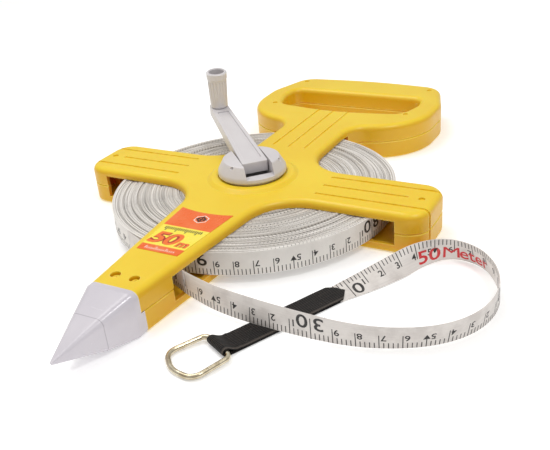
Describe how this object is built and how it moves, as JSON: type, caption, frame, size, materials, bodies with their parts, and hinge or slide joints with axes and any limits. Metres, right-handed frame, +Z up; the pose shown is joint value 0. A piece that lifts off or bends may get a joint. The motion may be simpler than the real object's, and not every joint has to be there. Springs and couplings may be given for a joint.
{
  "type": "surveyor tape reel",
  "caption": "Open-frame long measuring tape on a reel: cross-shaped case with hand grip and ground spike, folding crank, printed tape with strap and hook ring.",
  "frame": {"origin": "on the reel's axis, in the plane of the lower shell's flat underside", "axes": "+Y towards the hand grip, -Y to the ground spike, +Z up along the reel's axis, +X to the side the free tape lies on"},
  "size_m": [0.2639, 0.3602, 0.0681],
  "materials": {
    "yellow_case": "satin moulded plastic",
    "grey_plastic": "satin moulded plastic",
    "spike_plastic": "satin moulded plastic",
    "tape_print": "coated fibreglass tape, printed in black and red",
    "strap_black": "woven synthetic strap",
    "ring_wire": "nickel-plated wire",
    "label_print": "printed sticker",
    "screw_steel": "zinc-plated steel"
  },
  "bodies": {
    "case": {"top_shell": "yellow_case", "bottom_shell": "yellow_case", "ground_spike": "spike_plastic", "label": "label_print", "arm_screws": "screw_steel", "grip_screws": "screw_steel", "spike_screws": "yellow_case", "thrust_washer": "screw_steel", "retaining_washer": "screw_steel", "spindle_screw": "screw_steel", "tape_lead": "tape_print", "free_tape": "tape_print", "leader_strap": "strap_black"},
    "drum": {"drum_core": "grey_plastic", "tape_anchor": "grey_plastic", "wound_tape": "tape_print", "crank_cover": "grey_plastic", "cover_screws": "screw_steel", "hinge_pin": "screw_steel"},
    "crank": {"crank_arm": "grey_plastic", "knob_spindle": "screw_steel"},
    "crank_knob": {"knob": "grey_plastic"},
    "ring": {"hook_ring": "ring_wire"}
  },
  "joints": [
    {"name": "reel_spin", "type": "hinge", "parent": "case", "child": "drum", "pos_m": [0, 0, 0.0115], "axis": [0, 0, 1], "continuous": true},
    {"name": "crank_fold", "type": "hinge", "parent": "drum", "child": "crank", "pos_m": [0, 0, 0.0305], "axis": [0.7022, 0.712, 0], "range_deg": [0, 150]},
    {"name": "knob_spin", "type": "hinge", "parent": "crank", "child": "crank_knob", "pos_m": [-0.05171, 0.05099, 0.04337], "axis": [0.0794, -0.0783, 0.9938], "continuous": true},
    {"name": "ring_swing", "type": "hinge", "parent": "case", "child": "ring", "pos_m": [0.0514, -0.1256, 0.00225], "axis": [-0.891, 0.454, 0], "range_deg": [0, 140]}
  ]
}
